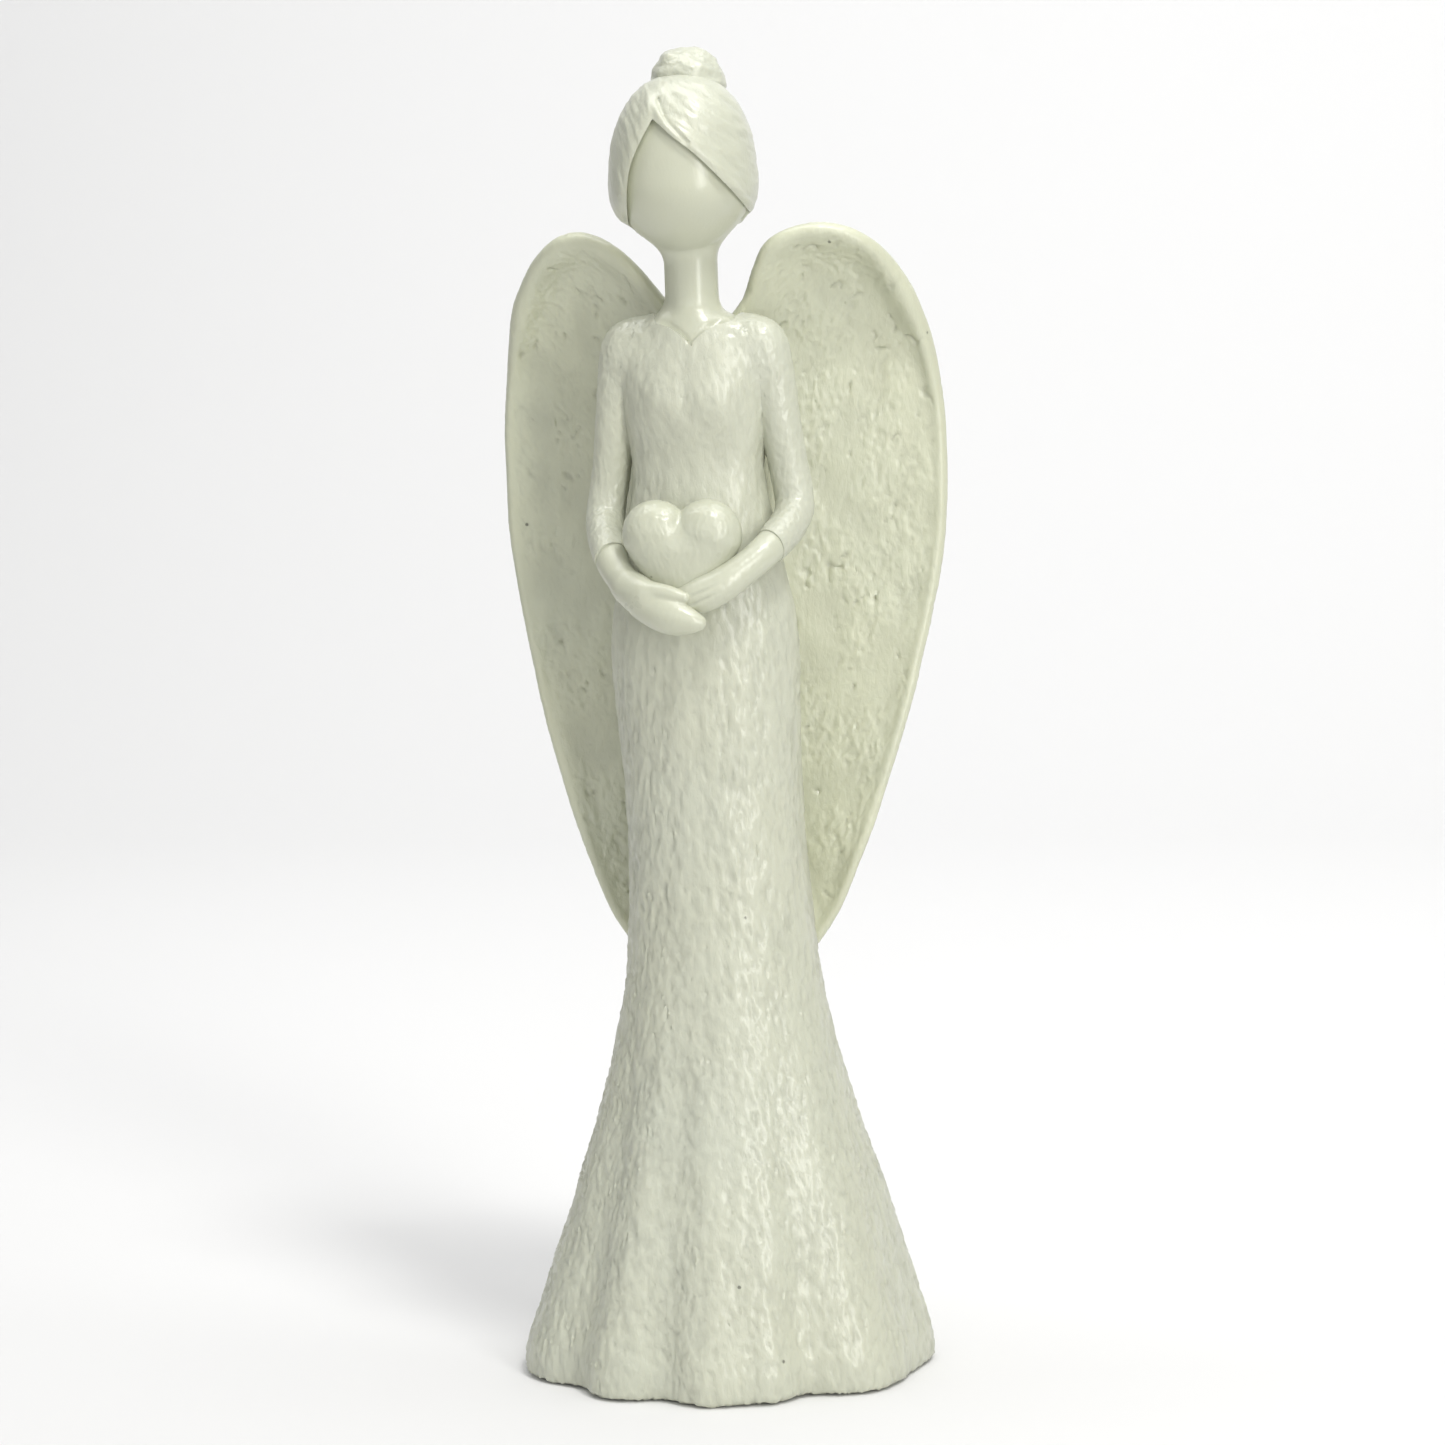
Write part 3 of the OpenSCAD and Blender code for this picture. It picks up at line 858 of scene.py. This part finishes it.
def recess(radius, top):
    """A round recess in the underside."""
    return lambda p: np.minimum(radius - np.hypot(p[:, 0], p[:, 1]), top - p[:, 2])


def arm_side(p):
    """More than 0 where a point is nearer to an arm than to the torso."""
    return (torso(p) - arms(p)) * 0.6


def bark(size, deep, seed):
    """Knife strokes along z: sharp little ridges over shallow hollows."""

    def relief(p):
        w = p + 0.9 * np.stack([noise(p, 3.5, seed + k) for k in (1, 2, 3)], 1)
        fine = ridges(w, size, seed + 4)
        finer = ridges(w, tuple(0.55 * s for s in size), seed + 5)
        wide = noise(p, tuple(3.4 * s for s in size), seed + 6)
        return deep * (0.7 * fine + 0.5 * finer + 0.55 * wide - 0.6)

    return relief


def gown_relief(p):
    """Deep strokes on the skirt that fade to light ones on the bodice."""
    strong = 0.6 + 0.4 * ramp((185.0 - p[:, 2]) / 30.0)
    near_neck = 0.3 + 0.7 * ramp(-neckline(p) / 3.0)
    return bark((1.5, 1.5, 4.6), 0.55, 10)(p) * strong * near_neck


def wing_relief(p):
    """Short crossing strokes in patches, with a few cracks cut between them, which the painted shade of the
    hollows darkens.
    """
    w = p + 1.0 * np.stack([noise(p, 4.0, k) for k in (31, 32, 33)], 1)
    x, y, z = w.T
    strokes = np.stack([0.91 * np.abs(x) - 0.42 * z, y, 0.42 * np.abs(x) + 0.91 * z], 1)
    dents = ridges(strokes, (2.1, 2.6, 4.4), 34)
    fine = ridges(strokes, (1.1, 1.3, 2.6), 35)
    wide = noise(p, (7, 7, 10), 36)
    worked = 0.3 + 0.7 * ramp((noise(p, (9, 9, 15), 37) + 0.3) / 0.6)
    lines = ramp((ridges(strokes, (3.2, 3.2, 5.5), 38) - 0.74) / 0.18)
    cracks = lines * ramp((noise(p, (5, 5, 8), 39) - 0.16) / 0.15) * ramp((noise(p, 2.4, 30) + 0.1) / 0.25)
    outline = np.where(p[:, 0] > 0, LEFT_OUTLINE(p[:, 0], p[:, 2]), RIGHT_OUTLINE(-p[:, 0], p[:, 2]))
    strong = 0.3 + 0.7 * ramp((-outline - 2.0) / 3.0)
    tooling = 0.48 * (worked * (0.45 * dents + 0.65 * fine) + 0.8 * wide - 0.4)
    return (tooling - 0.5 * cracks) * strong


def sleeve_relief(p):
    """Light strokes along the sleeves."""
    return bark((1.7, 1.7, 3.6), 0.2, 40)(p)


def heart_relief(p):
    """Faint strokes on the heart."""
    return bark((1.7, 1.7, 4.2), 0.11, 50)(p)


def hair_relief(p):
    """Fine combed lines that follow the sweep of the hair."""
    x, y = head_frame(p)
    z = p[:, 2]
    across = np.where(x > SIDE(z, 1) * 0.6, z * 0.78 + x * 0.62, x + 0.25 * z)
    q = np.stack([across, 0.16 * (x - z), 0.2 * y], 1)
    return 0.2 * (noise(q, (1.3, 1.3, 1.3), 61) + 0.6 * noise(q, 0.7, 62))


def finger_relief(p):
    """Faint lines between the fingers of the lower hand."""
    x, z = p[:, 0], p[:, 2]
    across = (z - 179.4) - 0.42 * (x - 3.8)
    lines = np.exp(-(((across - 0.9) / 0.35) ** 2)) + np.exp(-(((across + 1.1) / 0.35) ** 2))
    return 0.05 * noise(p, 1.4, 81) - 0.3 * lines * ramp((9.5 - x) / 4.0)


def bun_relief(p):
    """Twists and dents round the bun."""
    return 0.16 * (noise(p, (2.2, 2.2, 1.2), 71) + 0.7 * ridges(p, (1.6, 1.6, 0.9), 72) - 0.4)


def cuff_gap(path, far):
    """How far a point is past the end of a sleeve. Away from the cuff it is the number far."""
    a, b = np.array(path[-2][:3]), np.array(path[-1][:3])
    n = (b - a) / np.linalg.norm(b - a)
    n = n + np.array([0.0, 0.0, 0.25])
    n /= np.linalg.norm(n)
    at = a + CUFF_SHARE * (b - a)

    def gap(p):
        near = np.linalg.norm(p - at, axis=1) < 8.0
        return np.where(near, (p - at) @ n, far)

    return gap


def sleeve_field(arm, path, side):
    """Fields of one sleeve: the dress, on this arm's side of the crease, down to the cuff."""

    def own(p):
        return np.maximum((arm(p) - torso(p)) * 0.6, -side * p[:, 0])

    return [near_only(dressed, *sided(SLEEVE_NEAR, side)), own, cuff_gap(path, -5.0)]


def sided(box, side):
    """A box given for the figure's left (side 1), or its mirror image on the right (side -1)."""
    (x0, y0, z0), (x1, y1, z1) = box
    if side > 0:
        return box
    return (-x1, y0, z0), (-x0, y1, z1)


def wrist_start(path):
    """A hand begins just inside its cuff."""
    gap = cuff_gap(path, 5.0)
    return lambda p: -0.5 - gap(p)


# Grid spacing in x, y and z. The shapes with the smallest features have the finest grids.
GOWN_GRID = np.array([0.68, 0.68, 1.08])
WING_GRID = np.array([0.52, 0.52, 0.6])
SMALL_GRID = np.array([0.4, 0.4, 0.4])
FINE_GRID = np.array([0.32, 0.32, 0.32])

# The box that each piece is looked for in. Those of the sleeve and the wing are on the figure's left.
GOWN_BOX = ((-51, -45, -1), (51, 45, 243))
SLEEVE_BOX = ((6, -22, 178), (30, 9, 244))
SLEEVE_NEAR = ((7, -24, 176), (33, 10, 246))
RIGHT_HAND_BOX = ((-25, -32, 166), (9, -3, 194))
LEFT_HAND_BOX = ((-7, -32, 170), (25, -3, 197))
HEART_BOX = ((-18, -26, 175), (17, -5, 204))
HEAD_BOX = ((-20, -21, 231), (19, 17, 297))
HAIR_BOX = ((-20, -21, 250), (19, 17, 298))
BUN_BOX = ((-11, -8, 284), (11, 13, 303))
WING_BOX = ((-1, 2, 93), (56, 36, 263))

TOOLED_COLOUR = (0.533, 0.550, 0.454)
SMOOTH_COLOUR = (0.537, 0.555, 0.446)
# The wings' colour is the tooled resin's made lighter: painted light that stands in for more light falling on
# the wings.
WING_PAINTED_LIGHT_COLOUR = (0.574, 0.592, 0.458)


def away_from(solid):
    """A cut that keeps a piece out of another one, apart from a small bite."""
    return lambda p: -BITE - solid(p)


def make_gown(tooled):
    """Bodice and skirt, without the sleeves' share of the dress."""
    field = [gown_outer, arm_side, neckline, seat_gap, recess(*FELT_RECESS), recess(*PLUG_RECESS)]
    sculpt("gown", field, GOWN_BOX, GOWN_GRID, gown_relief, tooled)


def make_sleeves(tooled):
    """The two sleeves, from shoulder to cuff."""
    sleeves = [("left_sleeve", LEFT_ARM, ARM, 1), ("right_sleeve", RIGHT_ARM, mirrored(ARM), -1)]
    for name, arm, path, side in sleeves:
        field = sleeve_field(arm, path, side)
        sculpt(name, field, sided(SLEEVE_BOX, side), SMALL_GRID, sleeve_relief, tooled)


def make_hands_and_heart(smooth):
    """The right hand lies on the left one, and the heart rests on both."""
    upper = [HAND_RIGHT, wrist_start(mirrored(ARM)), away_from(torso)]
    sculpt("right_hand", upper, RIGHT_HAND_BOX, FINE_GRID, None, smooth)
    lower = [HAND_LEFT, away_from(HAND_RIGHT), wrist_start(ARM), away_from(torso)]
    sculpt("left_hand", lower, LEFT_HAND_BOX, FINE_GRID, finger_relief, smooth)
    held = [HEART_NEAR, away_from(gown_solid), away_from(lambda p: np.minimum(HAND_LEFT(p), HAND_RIGHT(p)))]
    sculpt("heart", held, HEART_BOX, FINE_GRID, heart_relief, smooth)


def make_head_and_hair(smooth, tooled):
    """Head with neck, the cap of hair round it, and the bun on top."""
    head = [head_skin, lambda p: -neckline(p), seat_gap]
    sculpt("head_and_neck", head, HEAD_BOX, SMALL_GRID, None, smooth)
    hair = [hair_top, lambda p: -egg(p, HAIR_T + 0.6), hair_edge, hairline]
    sculpt("hair_cap", hair, HAIR_BOX, SMALL_GRID, hair_relief, tooled)
    knot = [bun, lambda p: -0.5 - egg(p)]
    sculpt("hair_bun", knot, BUN_BOX, FINE_GRID, bun_relief, tooled)


def make_wings(wing_painted_light):
    """The two wings, each fitted to the seat on the gown's back."""
    for name, side, outline in (("left_wing", 1, LEFT_OUTLINE), ("right_wing", -1, RIGHT_OUTLINE)):
        sculpt(name, wing(side, outline), sided(WING_BOX, side), WING_GRID, wing_relief, wing_painted_light)


def make_pieces():
    """All the sculpted pieces: tooled and smooth resin, and on the wings the tooled resin painted lighter as
    painted light.
    """
    tooled = resin_material("tooled_resin", TOOLED_COLOUR, 0.36, 0.38, 1.0)
    smooth = resin_material("smooth_resin", SMOOTH_COLOUR, 0.34, 0.4, 0.35)
    # Painted light: the wings get a lighter copy of the tooled resin.
    wing_painted_light = resin_material("wing_resin_painted_light", WING_PAINTED_LIGHT_COLOUR, 0.36, 0.38, 1.0)
    make_gown(tooled)
    make_sleeves(tooled)
    make_hands_and_heart(smooth)
    make_head_and_hair(smooth, tooled)
    make_wings(wing_painted_light)


# ---------------------------------------------------------------- materials


def node(tree, kind, **values):
    """Adds a shader node and sets its properties and unlinked inputs."""
    made = tree.nodes.new(kind)
    for key, value in values.items():
        if key in made.inputs:
            made.inputs[key].default_value = value
        else:
            setattr(made, key, value)
    return made


def map_range(tree, source, before, after):
    """Turns values of a socket in the range before into values in the range after."""
    made = node(tree, "ShaderNodeMapRange")
    made.inputs["From Min"].default_value, made.inputs["From Max"].default_value = before
    made.inputs["To Min"].default_value, made.inputs["To Max"].default_value = after
    tree.links.new(source, made.inputs["Value"])
    return made


def resin_material(name, colour, rough, coat, tool):
    """Glossy cream resin: clouds of colour, painted shade in the hollows of the relief and in the bubble
    pits, and fine wrinkles.

    rough and coat set the gloss, and tool says how strong the wrinkles are."""
    material = bpy.data.materials.new(name)
    material.use_nodes = True
    tree = material.node_tree
    tree.nodes.clear()
    link = tree.links.new
    out = node(tree, "ShaderNodeOutputMaterial")
    shader = node(tree, "ShaderNodeBsdfPrincipled")
    shader.inputs["IOR"].default_value = 1.5
    shader.inputs["Coat Weight"].default_value = coat
    shader.inputs["Coat Roughness"].default_value = 0.2
    shader.inputs["Coat IOR"].default_value = 1.5
    shader.inputs["Subsurface Weight"].default_value = 0.12
    shader.inputs["Subsurface Radius"].default_value = (1.0, 0.85, 0.6)
    shader.inputs["Subsurface Scale"].default_value = 0.0012
    link(shader.outputs["BSDF"], out.inputs["Surface"])
    place = node(tree, "ShaderNodeTexCoord")
    clouds = node(tree, "ShaderNodeTexNoise", Scale=22.0, Detail=3.0, Roughness=0.5)
    link(place.outputs["Object"], clouds.inputs["Vector"])
    warm = node(tree, "ShaderNodeMix", data_type="RGBA")
    warm.inputs["A"].default_value = (colour[0] * 0.955, colour[1] * 0.965, colour[2] * 0.985, 1)
    warm.inputs["B"].default_value = (colour[0] * 1.03, colour[1] * 1.01, colour[2] * 0.95, 1)
    link(clouds.outputs["Fac"], warm.inputs["Factor"])
    relief_height = node(tree, "ShaderNodeAttribute", attribute_name="relief_height")
    # Painted shade: the colour darkens where the relief height is low, in its hollows, and lightens a little
    # on its ridges.
    depth = map_range(tree, relief_height.outputs["Fac"], (-0.6, 0.12), (0.84, 1.015))
    # Bubble pits: a bump, and painted shade that darkens their colour.
    pit = node(tree, "ShaderNodeTexVoronoi", Scale=105.0)
    link(place.outputs["Object"], pit.inputs["Vector"])
    hole = map_range(tree, pit.outputs["Distance"], (0.028, 0.052), (1.0, 0.0))
    chosen = node(tree, "ShaderNodeMath", operation="LESS_THAN")
    chosen.inputs[1].default_value = 0.3
    pick = node(tree, "ShaderNodeSeparateColor")
    link(pit.outputs["Color"], pick.inputs["Color"])
    link(pick.outputs["Red"], chosen.inputs[0])
    pits = node(tree, "ShaderNodeMath", operation="MULTIPLY")
    link(hole.outputs["Result"], pits.inputs[0])
    link(chosen.outputs["Value"], pits.inputs[1])
    # Painted shade: the bubble pits take up to 0.6 off the colour's factor, on top of the painted shade of
    # the hollows.
    shade = node(tree, "ShaderNodeMath", operation="MULTIPLY_ADD")
    link(pits.outputs["Value"], shade.inputs[0])
    shade.inputs[1].default_value = -0.6
    link(depth.outputs["Result"], shade.inputs[2])
    # The cream colour times the painted shade of the hollows and the bubble pits.
    painted_shade_colour = node(tree, "ShaderNodeVectorMath", operation="SCALE")
    link(warm.outputs["Result"], painted_shade_colour.inputs[0])
    link(shade.outputs["Value"], painted_shade_colour.inputs["Scale"])
    link(painted_shade_colour.outputs["Vector"], shader.inputs["Base Color"])
    patches = node(tree, "ShaderNodeTexNoise", Scale=70.0, Detail=4.0, Roughness=0.6)
    link(place.outputs["Object"], patches.inputs["Vector"])
    gloss = map_range(tree, patches.outputs["Fac"], (0.3, 0.7), (rough - 0.07, rough + 0.1))
    link(gloss.outputs["Result"], shader.inputs["Roughness"])
    stretch = node(tree, "ShaderNodeMapping")
    stretch.inputs["Scale"].default_value = (1.0, 1.0, 0.42)
    link(place.outputs["Object"], stretch.inputs["Vector"])
    wrinkle = node(tree, "ShaderNodeTexNoise", Scale=900.0, Detail=4.0, Roughness=0.62, Distortion=0.5)
    link(stretch.outputs["Vector"], wrinkle.inputs["Vector"])
    height = node(tree, "ShaderNodeMath", operation="MULTIPLY_ADD")
    link(pits.outputs["Value"], height.inputs[0])
    height.inputs[1].default_value = -1.4
    link(wrinkle.outputs["Fac"], height.inputs[2])
    bump = node(tree, "ShaderNodeBump")
    bump.inputs["Strength"].default_value = 0.55 * tool
    bump.inputs["Distance"].default_value = 0.00035
    link(height.outputs["Value"], bump.inputs["Height"])
    link(bump.outputs["Normal"], shader.inputs["Normal"])
    return material


def steel_material():
    """Drawn steel: fine lines along the pin and small changes of shine."""
    material = bpy.data.materials.new("pin_steel")
    material.use_nodes = True
    tree = material.node_tree
    shader = tree.nodes["Principled BSDF"]
    shader.inputs["Metallic"].default_value = 1.0
    shader.inputs["Base Color"].default_value = (0.6, 0.6, 0.62, 1)
    place = node(tree, "ShaderNodeTexCoord")
    lines = node(tree, "ShaderNodeTexNoise", Scale=1800.0, Detail=2.0)
    tree.links.new(place.outputs["Object"], lines.inputs["Vector"])
    rough = map_range(tree, lines.outputs["Fac"], (0.0, 1.0), (0.25, 0.5))
    tree.links.new(rough.outputs["Result"], shader.inputs["Roughness"])
    return material


def felt_material():
    """Dark felt: fuzzy short fibres."""
    material = bpy.data.materials.new("base_felt")
    material.use_nodes = True
    tree = material.node_tree
    shader = tree.nodes["Principled BSDF"]
    shader.inputs["Roughness"].default_value = 0.95
    shader.inputs["Sheen Weight"].default_value = 0.4
    place = node(tree, "ShaderNodeTexCoord")
    fibres = node(tree, "ShaderNodeTexNoise", Scale=1400.0, Detail=6.0, Roughness=0.75, Distortion=1.5)
    tree.links.new(place.outputs["Object"], fibres.inputs["Vector"])
    colour = node(tree, "ShaderNodeMix", data_type="RGBA")
    colour.inputs["A"].default_value = (0.018, 0.018, 0.017, 1)
    colour.inputs["B"].default_value = (0.06, 0.06, 0.055, 1)
    tree.links.new(fibres.outputs["Fac"], colour.inputs["Factor"])
    tree.links.new(colour.outputs["Result"], shader.inputs["Base Color"])
    bump = node(tree, "ShaderNodeBump")
    bump.inputs["Strength"].default_value = 0.8
    bump.inputs["Distance"].default_value = 0.0004
    tree.links.new(fibres.outputs["Fac"], bump.inputs["Height"])
    tree.links.new(bump.outputs["Normal"], shader.inputs["Normal"])
    return material


def dress_cad_nodes():
    """Materials for the CAD nodes that stay: pins, plug and felt."""
    steel, felt = steel_material(), felt_material()
    plug = resin_material("plug_resin", TOOLED_COLOUR, 0.42, 0.3, 0.6)
    chosen = {"felt_pad": felt, "base_plug": plug}
    for name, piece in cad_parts.items():
        if "dowel" in name or "pin" in name:
            chosen[name] = steel
        if name in chosen:
            piece.data.materials.clear()
            piece.data.materials.append(chosen[name])


# ---------------------------------------------------------------- stage, light and camera


def make_floor():
    """Pale floor that rises behind the figure in one soft curve."""
    front, depth, wide, high, bend, steps = -5.0, 1.6, 8.0, 2.4, 0.8, 16
    profile = [(front, 0.0), (depth - bend, 0.0)]
    for i in range(1, steps + 1):
        a = math.radians(90.0 * i / steps)
        profile.append((depth - bend + bend * math.sin(a), bend - bend * math.cos(a)))
    profile.append((depth, high))
    points = [(x, y, z) for y, z in profile for x in (-wide / 2, wide / 2)]
    faces = [(2 * i, 2 * i + 1, 2 * i + 3, 2 * i + 2) for i in range(len(profile) - 1)]
    mesh = bpy.data.meshes.new("floor")
    mesh.from_pydata(points, [], faces)
    mesh.polygons.foreach_set("use_smooth", [True] * len(faces))
    floor = bpy.data.objects.new("floor", mesh)
    bpy.context.collection.objects.link(floor)
    material = bpy.data.materials.new("floor")
    material.use_nodes = True
    shader = material.node_tree.nodes["Principled BSDF"]
    shader.inputs["Base Color"].default_value = (0.765, 0.765, 0.765, 1)
    shader.inputs["Roughness"].default_value = 0.9
    shader.inputs["Specular IOR Level"].default_value = 0.1
    mesh.materials.append(material)


def aim(thing, target, roll=0.0):
    """Points a light or the camera at a place."""
    look = Vector(target) - thing.location
    turn = look.to_track_quat("-Z", "Y").to_matrix() @ Matrix.Rotation(roll, 3, "Z")
    thing.rotation_euler = turn.to_euler()


def area_light(name, place, target, size, power, colour):
    """A tall or square soft box."""
    data = bpy.data.lights.new(name, "AREA")
    data.shape = "RECTANGLE"
    data.size, data.size_y = size
    data.energy = power
    data.color = colour
    lamp = bpy.data.objects.new(name, data)
    bpy.context.collection.objects.link(lamp)
    lamp.location = place
    aim(lamp, target)


def make_lights():
    """Soft boxes round the figure, one for the backdrop, and a dim white sky."""
    middle = (0, 0, 0.15)
    area_light("key", (0.95, -1.1, 0.6), middle, (0.32, 1.1), 10.4, (1.0, 0.99, 0.96))
    area_light("top", (0.42, -0.42, 1.2), middle, (0.22, 0.22), 5.6, (1.0, 0.99, 0.97))
    area_light("front", (0.1, -1.7, 0.8), middle, (1.2, 1.2), 4.1, (1.0, 1.0, 1.0))
    area_light("fill", (-1.0, -1.3, 0.5), middle, (1.0, 1.2), 2.4, (1.0, 1.0, 1.0))
    area_light("backdrop", (0, 0.3, 1.5), (0, 1.6, 0.5), (1.4, 1.4), 21.5, (1.0, 1.0, 1.0))
    world = bpy.data.worlds.new("studio")
    bpy.context.scene.world = world
    world.use_nodes = True
    world.node_tree.nodes["Background"].inputs["Color"].default_value = (1, 1, 1, 1)
    world.node_tree.nodes["Background"].inputs["Strength"].default_value = 0.275


def plain_colours():
    """Colours as they are, without a film look."""
    bpy.context.scene.view_settings.view_transform = "Standard"


def make_camera():
    """From the figure's left of the front, a little above its shoulders."""
    azimuth, distance, height = math.radians(12.5), 1.0, 0.270
    aside, target_height, roll = 0.0032, 0.1485, math.radians(-2.1)
    data = bpy.data.cameras.new("camera")
    data.sensor_width = 36.0
    data.lens = 110.66
    data.dof.use_dof = False
    camera = bpy.data.objects.new("camera", data)
    bpy.context.collection.objects.link(camera)
    camera.location = (distance * math.sin(azimuth), -distance * math.cos(azimuth), height)
    target = (aside * math.cos(azimuth), aside * math.sin(azimuth), target_height)
    aim(camera, target, roll)
    bpy.context.scene.camera = camera


make_floor()
make_lights()
make_camera()
plain_colours()
make_pieces()
dress_cad_nodes()
